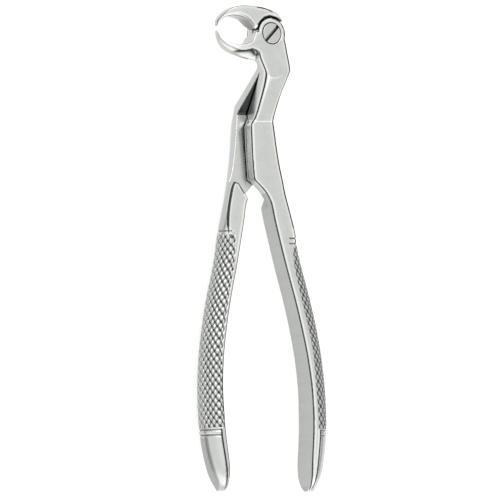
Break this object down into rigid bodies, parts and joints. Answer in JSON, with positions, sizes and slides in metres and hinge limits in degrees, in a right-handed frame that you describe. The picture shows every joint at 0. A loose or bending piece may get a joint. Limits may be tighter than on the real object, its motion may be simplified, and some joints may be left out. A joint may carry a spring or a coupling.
{
  "type": "extraction forceps",
  "caption": "Steel tooth extraction forceps with hawk's bill beaks at right angles to cranked shanks, a screw lap joint and knurled handles.",
  "frame": {"origin": "on the hinge axis, at the flat back of the joint, where the screw's end is flush", "axes": "+Y runs from the handles up to the head, midway between the handles; +Z is the hinge axis and points out of the screw's head; the beaks hook over to -X"},
  "size_m": [0.0514, 0.1668, 0.0216],
  "materials": {
    "lever_steel": "satin stainless steel with polished edges",
    "screw_steel": "satin stainless steel"
  },
  "bodies": {
    "rear_half": {"rear_lever": "lever_steel", "joint_screw": "screw_steel"},
    "front_half": {"front_lever": "lever_steel"}
  },
  "joints": [
    {"name": "lever_pivot", "type": "hinge", "parent": "rear_half", "child": "front_half", "pos_m": [0, 0, 0.004], "axis": [0, 0, 1], "range_deg": [-2.4, 24]}
  ]
}
